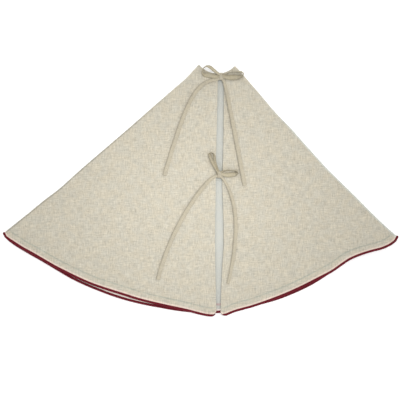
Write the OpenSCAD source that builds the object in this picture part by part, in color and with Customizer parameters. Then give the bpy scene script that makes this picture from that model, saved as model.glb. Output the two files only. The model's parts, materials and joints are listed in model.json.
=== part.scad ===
// A round, lined tree skirt with corded piping on its hem, a slit down its front and two pairs of
// self-fabric ties tied in bows. It is folded in half and in half again and lies flat, ties up.
// Four layers lie on each other: the slit front (two panels), the second, the third and the bottom.
// +Z points up off the surface, +Y from the hem to the neck, and the slit runs along Y.

/* [Skirt] */
// From the neck's middle to the front panels' hem at the slit
skirt_r = 608; // [600:1:615]
// Radius of the turn in the middle of the whole layers' hem
middle_turn_r = 330; // [320:10:400]
// Radius of the neck opening
neck_r = 54; // [44:1:64]
// From the neck's middle to the hem at the left fold
left_r = 645; // [635:1:655]
// From the neck's middle to the hem halfway between the left fold and the slit
left_mid_r = 606; // [602:1:612]
// From the neck's middle to the hem halfway between the slit and the right fold
right_mid_r = 572; // [566:1:580]
// From the neck's middle to the hem at the right fold
right_r = 598; // [590:1:605]
// Angle from the slit's line to the left fold
left_angle = 49.2; // [47:0.1:51]
// Angle from the slit's line to the right fold
right_angle = 43.6; // [42:0.1:46]
// How far the slit's left edge lies left of the neck's middle
slit_left = 3; // [2:0.5:4]
// Width of the slit as the panels lie
slit_gap = 15; // [14:0.5:17]

/* [Cloth] */
// Thickness of the face cloth
face_t = 0.8; // [0.6:0.1:0.8]
// Thickness of the lining
lining_t = 0.5; // [0.4:0.1:0.5]
// Thickness of the seam allowance between face and lining
seam_t = 0.3; // [0.2:0.1:0.3]
// Height from one folded layer to the next
layer_pitch = 5; // [5:0.1:6]
// How far the folds under the left edge lie inside it, in degrees
left_tuck = 1.6; // [1:0.1:2]
// How far the fold inside the right edge lies inside it, in degrees
right_tuck = 3.5; // [3:0.1:4]

/* [Piping] */
// Radius of the piping
piping_r = 2.3; // [2:0.1:2.3]
// Radius of the filler cord in the piping
filler_r = 1.6; // [1.2:0.1:1.6]
// Width of the piping's seam allowance
flange_w = 12; // [8:1:16]
// How far the topstitching lies above the hem
stitch_up = 15; // [13:1:20]
// Width of the topstitching thread
stitch_w = 0.6; // [0.4:0.1:0.8]

/* [Ties] */
// Width of a tie
tie_w = 9; // [8:0.5:9.5]
// Thickness of a tie
tie_t = 1; // [0.8:0.1:1]
// Height of a bow's loops
loop_h = 6; // [5:0.5:6.5]
// Width of a knot, across the slit
knot_w = 12; // [11:0.5:12.5]
// Length of a knot, along the slit
knot_len = 15; // [12:0.5:15]
// Height of a knot
knot_h = 8; // [7:0.5:9]
// From the neck's middle down to the upper knot
upper_drop = 60; // [60:1:62]
// From the neck's middle down to the lower knot
lower_drop = 286; // [285:1:288]

/* [Hidden] */

$fn = 96;
far = 2000;
curve_steps = 14;
move_gap = 0.3;
// Clearance between a fold and the layers it joins, and how far sweeps run on before they are trimmed
fold_gap = 0.02;
overrun = 0.5;
// How far the lengths of a whole layer's piping stop short of each other, in degrees
butt = 0.001;

layer_t = lining_t + seam_t + face_t;
slit_x = [-slit_left, slit_gap - slit_left];
left_under = -left_angle + left_tuck;
right_under = right_angle - right_tuck;

// Floor heights of the four layers
bottom_z = 0;
third_z = layer_pitch;
second_z = 2 * layer_pitch;
front_z = 3 * layer_pitch;
top_z = front_z + layer_t;

// A direction in the plane, turned from -Y towards +X by angle a
function heading(a) = [sin(a), -cos(a)];

// The circle through three points, as [middle, radius]
function circle_through(p, q, s) =
    let (
        d = 2 * (p[0] * (q[1] - s[1]) + q[0] * (s[1] - p[1]) + s[0] * (p[1] - q[1])),
        x = (p * p * (q[1] - s[1]) + q * q * (s[1] - p[1]) + s * s * (p[1] - q[1])) / d,
        y = (p * p * (s[0] - q[0]) + q * q * (p[0] - s[0]) + s * s * (q[0] - p[0])) / d,
        middle = [x, y]
    ) [middle, norm(p - middle)];

// The hem's curve is one arc on each side of the slit's line, both flatter than a circle round the neck
left_arc = circle_through(
    left_r * heading(-left_angle), left_mid_r * heading(-left_angle / 2), [0, -skirt_r]);
right_arc = circle_through(
    right_r * heading(right_angle), right_mid_r * heading(right_angle / 2), [0, -skirt_r]);

// The lower of the two points at distance r0 from c0 and r1 from c1
function lower_meeting(c0, r0, c1, r1) =
    let (v = c1 - c0, d = norm(v), k = (d * d + r0 * r0 - r1 * r1) / (2 * d), h = sqrt(r0 * r0 - k * k))
    c0 + v * k / d + [v[1], -v[0]] * h / d * (v[0] > 0 ? 1 : -1);

// The whole layers turn from one arc into the other along a third, which touches both
turn_mid = lower_meeting(
    left_arc[0], left_arc[1] - middle_turn_r, right_arc[0], right_arc[1] - middle_turn_r);
turn_arc = [turn_mid, middle_turn_r];

// The direction of a vector, in degrees from +X
function direction(v) = atan2(v[1], v[0]);
turn_start = direction(turn_mid - left_arc[0]);
turn_end = direction(turn_mid - right_arc[0]);

// The angle at the neck, from -Y towards +X, of the point of an arc in a direction from its middle
function neck_angle(arc, way) =
    let (p = arc[0] + arc[1] * [cos(way), sin(way)]) atan2(p[0], -p[1]);
turn_left = neck_angle(left_arc, turn_start);
turn_right = neck_angle(right_arc, turn_end);

// How far the hem is from the neck's middle at angle a, and out beyond it
function arc_along(arc, a, out) =
    let (u = heading(a), k = u * arc[0], r = arc[1] + out) k + sqrt(k * k - arc[0] * arc[0] + r * r);
function along(a, out = 0) = arc_along(a < 0 ? left_arc : right_arc, a, out);
function on_hem(a, out = 0) = along(a, out) * heading(a);
// The direction from an arc's middle to where the line at angle a meets the piping
function arc_way(arc, a) = direction(arc_along(arc, a, piping_r) * heading(a) - arc[0]);

// The layers' folded edges, left and right
left = -left_angle;
right = right_angle;

// The frame's origin: the middle of the box round the whole skirt, on the surface
low_x = on_hem(left, piping_r)[0] - piping_r;
high_x = on_hem(right, piping_r)[0] + layer_pitch;
high_y = -neck_r * cos(left_angle) + layer_t;
low_y = turn_mid[1] - middle_turn_r - 2 * piping_r;
centre = [(low_x + high_x) / 2, (low_y + high_y) / 2];

module placed() {
    translate([-centre[0], -centre[1], 0]) children();
}

// ---- cloth layers ----

module wedge(a0, a1) {
    polygon([[0, 0], far * heading(a0), far * heading((a0 + a1) / 2), far * heading(a1)]);
}

// What of a wedge lies inside an arc's circle
module sector(a0, a1, arc) {
    intersection() {
        wedge(a0, a1);
        translate(arc[0]) circle(r = arc[1], $fn = 720);
    }
}

// What lies on one side of the slit: side is "left", "right" or "whole"
module part_of(side) {
    if (side == "left") translate([slit_x[0] - far, -far]) square([far, 2 * far]);
    if (side == "right") translate([slit_x[1], -far]) square([far, 2 * far]);
    if (side == "whole") square(2 * far, center = true);
}

// The outline of a layer, or of one side of it, between two folds, cut off at the neck and at the hem
module outline(side, a0, a1) {
    difference() {
        if (side == "whole") {
            sector(a0, turn_left, left_arc);
            sector(turn_left, turn_right, turn_arc);
            sector(turn_right, a1, right_arc);
        } else intersection() {
            sector(a0, a1, side == "left" ? left_arc : right_arc);
            part_of(side);
        }
        circle(r = neck_r);
    }
}

// One cloth of a layer
module cloth(side, a0, a1, z, t) {
    placed() translate([0, 0, z]) linear_extrude(t) outline(side, a0, a1);
}

// Height of a layer's lower cloth and upper cloth: the lining is below where the layer is face up
function lower_cloth(z) = z;
function upper_cloth(z, lower_t) = z + lower_t + seam_t;

module face(side, a0, a1, z, face_up) {
    color("wheat") cloth(side, a0, a1, face_up ? upper_cloth(z, lining_t) : lower_cloth(z), face_t);
}

module lining(side, a0, a1, z, face_up) {
    color("ghostwhite") cloth(side, a0, a1, face_up ? lower_cloth(z) : upper_cloth(z, face_t), lining_t);
}

// ---- piping: a bias strip round a filler cord, with its seam allowance between the cloths ----

// Keeps what lies between the lines at a0 and a1, on one side of the slit
module trimmed(side, a0, a1) {
    intersection() {
        children();
        placed() translate([0, 0, -layer_pitch]) linear_extrude(6 * layer_pitch) intersection() {
            wedge(a0, a1);
            part_of(side);
        }
    }
}

// Sweeps children, drawn outwards from the hem, along an arc from one direction to another
module swept(arc, from, to) {
    placed() translate([arc[0][0], arc[0][1], 0]) rotate([0, 0, from])
        rotate_extrude(angle = to - from, $fn = 720) translate([arc[1], 0]) children();
}

// Sweeps children along the hem of a layer, or of one side of it
module along_hem(side, a0, a1) {
    trimmed(side, a0, a1) {
        if (side == "left")
            swept(left_arc, arc_way(left_arc, a0) - overrun, arc_way(left_arc, 0)) children();
        if (side == "right")
            swept(right_arc, arc_way(right_arc, 0), arc_way(right_arc, a1) + overrun) children();
        if (side == "whole") {
            swept(left_arc, arc_way(left_arc, a0) - overrun, turn_start - butt) children();
            swept(turn_arc, turn_start + butt, turn_end - butt) children();
            swept(right_arc, turn_end + butt, arc_way(right_arc, a1) + overrun) children();
        }
    }
}

module piping(side, a0, a1, z, lower_t) {
    color("firebrick") along_hem(side, a0, a1) difference() {
        union() {
            translate([piping_r, z + piping_r]) circle(r = piping_r, $fn = 32);
            translate([-flange_w, z + lower_t]) square([flange_w + piping_r / 2, seam_t]);
        }
        translate([piping_r, z + piping_r]) circle(r = filler_r, $fn = 32);
    }
}

module filler(side, a0, a1, z) {
    color("white") along_hem(side, a0, a1)
        translate([piping_r, z + piping_r]) circle(r = filler_r, $fn = 32);
}

module topstitch(side, a0, a1) {
    color("tan") along_hem(side, a0, a1) translate([-stitch_up, top_z]) square([stitch_w, seam_t]);
}

// ---- folds: half tubes that join one layer's edge to the next layer's ----

// Stands children, drawn across a fold with +X outwards, along the fold at angle a up to the hem
module along_fold(a, side) {
    placed() rotate([0, 0, a + (side < 0 ? 180 : 0)]) translate([0, side < 0 ? neck_r : -neck_r, 0])
        mirror([0, side < 0 ? 0 : 1, 0]) rotate([90, 0, 0]) mirror([0, 0, 1])
            linear_extrude(along(a) - neck_r) children();
}

// Half of a ring of outer radius r and thickness t, open towards -X
module half_ring(r, t) {
    intersection() {
        difference() {
            circle(r = r);
            circle(r = r - t);
        }
        translate([fold_gap, -far]) square([far, 2 * far]);
    }
}

// The fold between the layer at z0 and the one at z1, at angle a; side is -1 at the left, 1 at the right
module fold_cloth(a, side, z0, z1, inset, t) {
    along_fold(a, side) translate([0, (z0 + z1 + layer_t) / 2])
        half_ring((z1 - z0 + layer_t) / 2 - inset, t);
}

module fold_face(a, side, z0, z1, outside) {
    color("wheat") fold_cloth(a, side, z0, z1, outside ? 0 : lining_t + seam_t, face_t);
}

module fold_lining(a, side, z0, z1, outside) {
    color("ghostwhite") fold_cloth(a, side, z0, z1, outside ? 0 : face_t + seam_t, lining_t);
}

// The piping's turn round a fold, from the layer at z0 to the one at z1
module fold_piping(a, side, z0, z1) {
    corner = on_hem(a, piping_r);
    color("firebrick") placed() translate([corner[0], corner[1], (z0 + z1) / 2 + piping_r])
        rotate([0, 0, a + (side < 0 ? 180 : 0)]) translate([fold_gap, 0, 0])
            rotate([90, 0, 0]) rotate([0, 0, -90])
                rotate_extrude(angle = 180) translate([(z1 - z0) / 2, 0]) circle(r = piping_r, $fn = 32);
}

// ---- ties and bows ----

upper_knot = [8, -upper_drop];
lower_knot = [4.5, -lower_drop];

// Centre lines of the tails, as cubic curves from near the knot to the loose end
upper_left_route = [[-5, -69], [-48, -71], [-72, -115], [-122, -288]];
upper_right_route = [[15, -74], [31, -143], [42, -207], [62, -311]];
lower_left_route = [[-10, -292], [-36, -311], [-107, -404], [-137, -527]];
lower_right_route = [[14, -298], [51, -356], [47, -436], [24, -536]];

// The loops' outlines, as two cubic curves each, out from the knot and back to it
upper_left_bow = [
    [[4, -56], [-14, -36], [-30, -30], [-35, -42]],
    [[-35, -42], [-39, -54], [-16, -58], [4, -61]],
];
upper_right_bow = [
    [[12, -59], [24, -50], [44, -48], [55, -54]],
    [[55, -54], [62, -60], [34, -68], [12, -63]],
];
lower_left_bow = [
    [[1, -281], [-9, -262], [-12, -244], [-16, -235]],
    [[-16, -235], [-27, -232], [-18, -262], [-2, -283]],
];
lower_right_bow = [
    [[8, -284], [20, -275], [34, -278], [45, -280]],
    [[45, -280], [53, -286], [26, -290], [8, -288]],
];

function bezier(p, t) =
    let (s = 1 - t) s * s * s * p[0] + 3 * s * s * t * p[1] + 3 * s * t * t * p[2] + t * t * t * p[3];
function curve(p) = [for (i = [0:curve_steps]) bezier(p, i / curve_steps)];
function unit(v) = v / norm(v);
function side_of(v) = [-v[1], v[0]] / norm(v);
function slope(line, i) = line[min(i + 1, len(line) - 1)] - line[max(i - 1, 0)];
// The outline of a band of width w round a line of points
function band(line, w) = concat(
    [for (i = [0:len(line) - 1]) line[i] + side_of(slope(line, i)) * w / 2],
    [for (i = [len(line) - 1:-1:0]) line[i] - side_of(slope(line, i)) * w / 2]);

module tail(route) {
    color("tan") placed() translate([0, 0, top_z + move_gap])
        linear_extrude(tie_t) polygon(band(curve(route), tie_w));
}

// A whole knot: a barrel across the slit, cut flat above and below
module barrel(at) {
    translate([at[0], at[1], top_z]) intersection() {
        translate([0, knot_len / 2, knot_h / 2]) rotate([90, 0, 0]) cylinder(d = knot_w, h = knot_len);
        translate([-knot_w, -knot_len, 0]) cube([2 * knot_w, 2 * knot_len, knot_h]);
    }
}

// The left (side -1) or right (side 1) part of a knot, parted from the other by a gap
module knot(at, side) {
    color("tan") placed() intersection() {
        barrel(at);
        translate([at[0] + (side < 0 ? -far - move_gap / 2 : move_gap / 2), -far, 0])
            cube([far, 2 * far, far]);
    }
}

// A loop of the bow: a ribbon on its edge, from the knot out and back
module loop(at, bow) {
    line = concat(curve(bow[0]), [for (i = [1:curve_steps]) curve(bow[1])[i]]);
    color("tan") placed() difference() {
        translate([0, 0, top_z + move_gap]) linear_extrude(loop_h) polygon(band(line, tie_t));
        barrel(at);
    }
}

// The sewn end of a tie: from the slit's edge to the underside of the knot
module tie_end(at, side) {
    edge = side < 0 ? slit_x[0] : at[0] + move_gap / 2;
    reach = side < 0 ? at[0] - move_gap / 2 - slit_x[0] : slit_x[1] - at[0] - move_gap / 2;
    color("tan") placed() translate([edge, at[1] - tie_w / 2, top_z - tie_t]) cube([reach, tie_w, tie_t]);
}

// ---- nodes ----

face("left", left, right, front_z, true);  // front_left_face
lining("left", left, right, front_z, true);  // front_left_lining
piping("left", left, right, front_z, lining_t);  // front_left_piping
filler("left", left, right, front_z);  // front_left_filler
topstitch("left", left, right);  // front_left_topstitch

face("right", left, right, front_z, true);  // front_right_face
lining("right", left, right, front_z, true);  // front_right_lining
piping("right", left, right, front_z, lining_t);  // front_right_piping
filler("right", left, right, front_z);  // front_right_filler
topstitch("right", left, right);  // front_right_topstitch

face("whole", left, right_under, second_z, false);  // second_layer_face
lining("whole", left, right_under, second_z, false);  // second_layer_lining
piping("whole", left, right_under, second_z, face_t);  // second_layer_piping
filler("whole", left, right_under, second_z);  // second_layer_filler

face("whole", left_under, right_under, third_z, true);  // third_layer_face
lining("whole", left_under, right_under, third_z, true);  // third_layer_lining
piping("whole", left_under, right_under, third_z, lining_t);  // third_layer_piping
filler("whole", left_under, right_under, third_z);  // third_layer_filler

face("whole", left_under, right, bottom_z, false);  // bottom_layer_face
lining("whole", left_under, right, bottom_z, false);  // bottom_layer_lining
piping("whole", left_under, right, bottom_z, face_t);  // bottom_layer_piping
filler("whole", left_under, right, bottom_z);  // bottom_layer_filler

fold_face(left, -1, second_z, front_z, true);  // left_front_fold_face
fold_lining(left, -1, second_z, front_z, false);  // left_front_fold_lining
fold_piping(left, -1, second_z, front_z);  // left_front_fold_piping
fold_face(left_under, -1, bottom_z, third_z, true);  // left_back_fold_face
fold_lining(left_under, -1, bottom_z, third_z, false);  // left_back_fold_lining
fold_piping(left_under, -1, bottom_z, third_z);  // left_back_fold_piping
fold_face(right_under, 1, third_z, second_z, false);  // right_inner_fold_face
fold_lining(right_under, 1, third_z, second_z, true);  // right_inner_fold_lining
fold_piping(right_under, 1, third_z, second_z);  // right_inner_fold_piping
fold_face(right, 1, bottom_z, front_z, true);  // right_outer_fold_face
fold_lining(right, 1, bottom_z, front_z, false);  // right_outer_fold_lining
fold_piping(right, 1, bottom_z, front_z);  // right_outer_fold_piping

tie_end(upper_knot, -1);  // upper_left_tie_end
knot(upper_knot, -1);  // upper_left_knot
loop(upper_knot, upper_left_bow);  // upper_left_loop
tail(upper_left_route);  // upper_left_tail
tie_end(upper_knot, 1);  // upper_right_tie_end
knot(upper_knot, 1);  // upper_right_knot
loop(upper_knot, upper_right_bow);  // upper_right_loop
tail(upper_right_route);  // upper_right_tail
tie_end(lower_knot, -1);  // lower_left_tie_end
knot(lower_knot, -1);  // lower_left_knot
loop(lower_knot, lower_left_bow);  // lower_left_loop
tail(lower_left_route);  // lower_left_tail
tie_end(lower_knot, 1);  // lower_right_tie_end
knot(lower_knot, 1);  // lower_right_knot
loop(lower_knot, lower_right_bow);  // lower_right_loop
tail(lower_right_route);  // lower_right_tail
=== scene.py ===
import json
import math

import bpy
import numpy as np
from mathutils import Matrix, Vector

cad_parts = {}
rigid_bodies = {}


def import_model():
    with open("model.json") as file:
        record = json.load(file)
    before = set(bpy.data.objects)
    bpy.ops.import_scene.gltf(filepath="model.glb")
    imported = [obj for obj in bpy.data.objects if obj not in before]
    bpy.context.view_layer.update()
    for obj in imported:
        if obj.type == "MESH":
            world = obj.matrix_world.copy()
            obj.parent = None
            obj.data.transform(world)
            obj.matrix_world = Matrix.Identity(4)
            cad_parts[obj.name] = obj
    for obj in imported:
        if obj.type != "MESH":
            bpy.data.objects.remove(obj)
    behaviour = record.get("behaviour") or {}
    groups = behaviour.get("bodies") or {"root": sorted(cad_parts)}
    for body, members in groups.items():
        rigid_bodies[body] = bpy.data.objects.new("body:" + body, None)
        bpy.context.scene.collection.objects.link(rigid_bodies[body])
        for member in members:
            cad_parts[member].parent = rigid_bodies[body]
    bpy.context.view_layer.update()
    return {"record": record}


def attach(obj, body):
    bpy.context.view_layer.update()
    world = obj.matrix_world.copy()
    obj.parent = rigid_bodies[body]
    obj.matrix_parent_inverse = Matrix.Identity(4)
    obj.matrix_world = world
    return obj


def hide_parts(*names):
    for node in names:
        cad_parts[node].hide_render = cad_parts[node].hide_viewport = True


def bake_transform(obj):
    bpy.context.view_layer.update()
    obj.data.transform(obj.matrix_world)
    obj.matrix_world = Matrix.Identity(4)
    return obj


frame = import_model()

NECK = next(m["pos_m"] for m in frame["record"]["mounts"] if m["name"] == "neck_opening")
ROOT, LEFT, RIGHT = "folded_back", "left_front_panel", "right_front_panel"

# ---------------------------------------------------------------- measures

NECK_R = 54.0
FOLD_LEFT, FOLD_LEFT_UNDER = -49.2, -47.6
FOLD_RIGHT, FOLD_RIGHT_UNDER = 43.6, 40.1
BOTTOM_Z, THIRD_Z, SECOND_Z, FRONT_Z = 0.0, 5.0, 10.0, 15.0
LAYER_T = 1.6
TOP_Z = FRONT_Z + LAYER_T
FACE_T, LINING_T = 0.8, 0.5
TUBE_R, BACK_TUBE_R, CORD_R = 2.4, 2.5, 1.5
TUBE_WIDE = 1.18  # the piping's width, over its height
TUBE_GRIP = 0.4  # how far the cloths run into the piping
FOLD_TRIM = 0.12  # degrees by which the piping stops short of the left fold
CORNER_LEFT, CORNER_RIGHT = 11.0, 9.0
STITCH_UP = 15.0
HEM_RISE = 14.0  # the cloths rise to the piping over this distance
EDGE_ROLL = 3.0  # and close up towards the slit and the neck over this one
FAR = 1e3  # stands for the distance to an edge that a layer hasn't got
FOLD_REACH = 0.85  # how far a pressed fold stands out, over its radius

# Radius of the piping's middle at angles, for the front panels and the layers behind
HEM_LEFT = [
    (-49.2, 646), (-48.7, 647.8), (-48, 646.7), (-46.9, 643.6), (-44.5, 637.3), (-42.5, 631.4),
    (-40.5, 627), (-38.5, 623.5), (-36.5, 620.4), (-34.5, 617), (-32.5, 614.3), (-30.5, 611.9),
    (-28.5, 609.5), (-26.5, 606.7), (-24.5, 604), (-22.5, 601.8), (-20.5, 600.3), (-17.5, 599.4),
    (-14.5, 598.4), (-10, 598.8), (-6.5, 601.3), (-4.5, 604.9), (-2.5, 608.3), (0, 610),
]
HEM_RIGHT = [
    (0, 612), (1.2, 609.5), (3.5, 601), (5.5, 596.6), (7.5, 593.4), (11.5, 586.6),
    (15.5, 581.1), (19.5, 576.3), (23.5, 572.5), (27.5, 571), (30, 568.3), (32, 567.2),
    (34, 570), (37.5, 580.9), (39.5, 590), (41.2, 595.6), (42.3, 597.6), (43.1, 597.4),
    (43.6, 595.5),
]
HEM_BACK = [
    (-49.2, 646.5), (-48.5, 648), (-46.5, 645.2), (-44.5, 640), (-42.5, 634.8),
    (-40.5, 630.1), (-38.5, 626.6), (-36.5, 624.1), (-34.5, 622.4), (-32.5, 620.8), (-30.5, 618.8),
    (-28.5, 616.7), (-26.5, 614.6), (-24.5, 613), (-20.5, 609.8), (-16.5, 606.6),
    (-12.5, 603.9), (-8.5, 603.3), (-4, 602.6), (0.3, 601.2), (5, 596.5), (9.5, 590.4),
    (13.5, 587.2), (17.5, 583.1), (21.5, 578.9), (25.5, 573.2), (29.5, 567.9), (33.5, 568),
    (37.5, 580), (40.1, 590.5), (43.6, 594.5),
]
# x of the slit's edges at distances down from the neck's middle
SLIT_LEFT = [
    (30, 0.8), (74, 0.2), (159, -1.6), (233, -3.4), (286, -4.2), (365, -5.2), (409, -6.2),
    (496, -5.3), (585, -3.4), (612, -2.6),
]
SLIT_RIGHT = [
    (30, 14.4), (74, 14.4), (163, 14), (269, 11.7), (299, 10.8), (365, 12.8), (409, 13.8),
    (452, 13.8), (496, 10.8), (585, 7.2), (612, 6.4),
]
# How far inside a straight line the folded edges lie, at distances from the neck's middle
FOLD_IN_LEFT = [
    (54, 0.6), (70, 3), (100, 5.8), (130, 5.8), (190, 6), (250, 6.6), (430, 6.6), (490, 7.6),
    (520, 5.4), (580, 3.8), (610, 2.6), (640, 1.6), (648, 1.4),
]
FOLD_IN_RIGHT = [
    (54, 0.4), (70, 0.4), (100, 2.2), (130, 3.4), (160, 5.2), (190, 6.8), (250, 6.6), (280, 7.6),
    (340, 9.4), (370, 10.2), (400, 9.2), (460, 7.2), (520, 6), (550, 4.8), (580, 2.6), (600, 1.4),
]


# ---------------------------------------------------------------- numbers

def heading(a):
    """The directions at angles a, as (x, y)."""
    a = np.radians(a)
    return np.stack([np.sin(a), -np.cos(a)], -1)


def outward(a, side):
    """Across the fold at angle a and out of the skirt; side is -1 at the left fold, 1 at the right."""
    a = math.radians(a)
    return np.array([-math.cos(a), -math.sin(a)]) * -side


def smooth(t):
    t = np.clip(t, 0.0, 1.0)
    return t * t * (3 - 2 * t)


def lerp(a, b, t):
    return a + (b - a) * t


def run_along(line):
    """The distance along a line at each of its points."""
    return np.concatenate([[0], np.cumsum(np.linalg.norm(np.diff(line, axis=0), axis=1))])


def turn_angles(sides):
    """Angles round a section, in radians."""
    return np.linspace(0, 2 * math.pi, sides, endpoint=False)


def curve(points):
    """A smooth function through (x, value) points; value may be a vector."""
    xs = np.array([p[0] for p in points], float)
    ys = np.array([p[1] for p in points], float)
    h = np.diff(xs)
    shape = (-1,) + (1,) * (ys.ndim - 1)
    d = np.diff(ys, axis=0) / h.reshape(shape)
    m = np.empty_like(ys)
    m[0], m[-1] = d[0], d[-1]
    hb, ha = h[:-1].reshape(shape), h[1:].reshape(shape)
    m[1:-1] = (d[:-1] * ha + d[1:] * hb) / (hb + ha)

    def at(x):
        x = np.asarray(x, float)
        i = np.clip(np.searchsorted(xs, x, side="right") - 1, 0, len(h) - 1)
        hi = h[i]
        t = np.clip((x - xs[i]) / hi, 0, 1)
        if ys.ndim > 1:
            t, hi = t[..., None], hi[..., None]
        a, b = ys[i], ys[i + 1]
        return (
            (2 * t**3 - 3 * t**2 + 1) * a + (t**3 - 2 * t**2 + t) * hi * m[i]
            + (3 * t**2 - 2 * t**3) * b + (t**3 - t**2) * hi * m[i + 1]
        )

    return at


slit_left, slit_right = curve(SLIT_LEFT), curve(SLIT_RIGHT)
hem_left, hem_right, hem_back = curve(HEM_LEFT), curve(HEM_RIGHT), curve(HEM_BACK)
fold_in_left, fold_in_right = curve(FOLD_IN_LEFT), curve(FOLD_IN_RIGHT)


def waves(x, y):
    """Height of the cloth's slow waves, 0 to 1. Each term is (waves by x, by y, phase, height)."""
    terms = [
        (0.021, 0.017, 0.4, 1.0), (-0.034, 0.012, 2.1, 0.8), (0.012, -0.043, 4.0, 0.8),
        (0.055, 0.028, 1.3, 0.45), (-0.048, 0.061, 5.2, 0.4), (0.081, -0.033, 3.3, 0.28),
        (0.02, 0.097, 0.9, 0.25),
    ]
    total = sum(a * np.sin(kx * x + ky * y + f) for kx, ky, f, a in terms)
    return np.clip(0.5 + total / 5.0, 0, 1)


# ---------------------------------------------------------------- meshes

def world(points):
    return np.asarray(points, float) * 0.001 + np.array([NECK[0], NECK[1], 0.0])


def make_object(name, vertices, faces, cut, material, fold=None):
    """A closed mesh. faces is a list of arrays, each (count, corners) of vertex numbers. cut says where each
    vertex lies on the flat cloth, and fold the painted shade near a fold: above 0 it darkens the cloth,
    below 0 it paints the cloth pale grey."""
    mesh = bpy.data.meshes.new(name)
    points = world(vertices)
    corners = np.concatenate([f.ravel() for f in faces])
    sizes = np.concatenate([np.full(len(f), f.shape[1]) for f in faces])
    # A closed shell's normals point out
    volume = 0.0
    for f in faces:
        for k in range(1, f.shape[1] - 1):
            p0, p1, p2 = points[f[:, 0]], points[f[:, k]], points[f[:, k + 1]]
            volume += float(np.einsum("ij,ij->", p0, np.cross(p1, p2)))
    if volume < 0:
        corners = np.concatenate([f[:, ::-1].ravel() for f in faces])
    mesh.vertices.add(len(points))
    mesh.vertices.foreach_set("co", points.astype(np.float32).ravel())
    mesh.loops.add(len(corners))
    mesh.loops.foreach_set("vertex_index", corners.astype(np.int32))
    mesh.polygons.add(len(sizes))
    starts = np.concatenate([[0], np.cumsum(sizes)[:-1]])
    mesh.polygons.foreach_set("loop_start", starts.astype(np.int32))
    mesh.polygons.foreach_set("use_smooth", np.ones(len(sizes), bool))
    mesh.update(calc_edges=True)
    attribute = mesh.attributes.new("cut", "FLOAT_VECTOR", "POINT")
    attribute.data.foreach_set("vector", np.asarray(cut, np.float32).ravel())
    if fold is not None:
        attribute = mesh.attributes.new("fold", "FLOAT", "POINT")
        attribute.data.foreach_set("value", np.asarray(fold, np.float32).ravel())
    mesh.materials.append(material)
    obj = bpy.data.objects.new(name, mesh)
    bpy.context.scene.collection.objects.link(obj)
    return obj


def grid_normals(grid):
    du = np.gradient(grid, axis=0)
    dv = np.gradient(grid, axis=1)
    n = np.cross(du, dv)
    return n / np.maximum(np.linalg.norm(n, axis=-1, keepdims=True), 1e-12)


def slab_faces(rows, columns):
    """Quads of a grid of vertices, of a second grid under it, and of the wall that joins their edges."""
    count = rows * columns
    index = np.arange(count).reshape(rows, columns)
    a, b = index[:-1, :-1].ravel(), index[:-1, 1:].ravel()
    c, d = index[1:, 1:].ravel(), index[1:, :-1].ravel()
    ring = np.concatenate([index[0, :-1], index[:-1, -1], index[-1, :0:-1], index[:0:-1, 0]])
    after = np.roll(ring, -1)
    return [
        np.stack([a, b, c, d], 1), np.stack([d, c, b, a], 1) + count,
        np.stack([after, ring, ring + count, after + count], 1),
    ]


def slab(name, top, low, cut, material, fold=None):
    """A closed piece between two grids (rows, columns, 3)."""
    cut = cut.reshape(-1, 3)
    if fold is not None:
        fold = np.concatenate([fold.ravel(), fold.ravel()])
    return make_object(name, np.concatenate([top.reshape(-1, 3), low.reshape(-1, 3)]),
                       slab_faces(*top.shape[:2]), np.concatenate([cut, cut]), material, fold)


def frames(line):
    """Tangent, side and up vectors along a line of points, carried along without twist from +Z."""
    t = np.gradient(line, axis=0)
    t /= np.linalg.norm(t, axis=1, keepdims=True)
    ups = np.empty_like(t)
    u = np.array([0, 0, 1.0])
    for i in range(len(t)):
        u = u - t[i] * np.dot(u, t[i])
        u /= np.linalg.norm(u)
        ups[i] = u
    return t, np.cross(t, ups), ups


def swept(name, line, section, material, cut, ups=None):
    """Sweeps section(i) -> (points, 2), across and up, along the line; ends are closed with fans."""
    t, side, up = frames(line)
    if ups is not None:
        up = ups - t * np.sum(ups * t, axis=1, keepdims=True)
        up /= np.linalg.norm(up, axis=1, keepdims=True)
        side = np.cross(t, up)
    rings = []
    for i in range(len(line)):
        s = section(i)
        rings.append(line[i] + s[:, :1] * side[i] + s[:, 1:2] * up[i])
    rings = np.array(rings)
    count, k = rings.shape[:2]
    index = np.arange(count * k).reshape(count, k)
    a, b = index[:-1], np.roll(index, -1, axis=1)[:-1]
    c, d = np.roll(index, -1, axis=1)[1:], index[1:]
    faces = [np.stack([a, b, c, d], -1).reshape(-1, 4)]
    vertices = [rings.reshape(-1, 3)]
    for end, row in enumerate((0, count - 1)):
        vertices.append(rings[row].mean(axis=0)[None])
        fan = np.stack([index[row], np.roll(index[row], -1), np.full(k, count * k + end)], 1)
        faces.append(fan if end else fan[:, ::-1])
    return make_object(name, np.concatenate(vertices), faces, cut(rings), material)


def resample(points, step):
    """Points a step apart along a line."""
    points = np.asarray(points, float)
    run = run_along(points)
    count = max(2, int(round(run[-1] / step)) + 1)
    at = np.linspace(0, run[-1], count)
    return np.stack([np.interp(at, run, points[:, k]) for k in range(points.shape[1])], -1)


def along_cut(line):
    """The cut attribute of a sweep: mm along it, round it, and 0."""
    run = run_along(line)

    def cut(rings):
        count, k = rings.shape[:2]
        span = np.linalg.norm(np.roll(rings, -1, axis=1) - rings, axis=2)
        round_at = np.concatenate([np.zeros((count, 1)), np.cumsum(span, axis=1)[:, :-1]], axis=1)
        values = np.stack(
            [np.repeat(run[:, None], k, axis=1), round_at, np.zeros((count, k))], -1
        ).reshape(-1, 3)
        return np.concatenate([values, [[run[0], 0, 0], [run[-1], 0, 0]]])

    return cut


def circle(sides):
    a = turn_angles(sides)
    return np.stack([np.cos(a), np.sin(a)], -1)


def tube(name, line, radius, material, sides=14):
    """radius is a number, or one for each point of the line."""
    ring = circle(sides) * [TUBE_WIDE, 1.0]
    radii = np.broadcast_to(radius, len(line))
    return swept(name, line, lambda i: ring * radii[i], material, along_cut(line))


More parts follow.
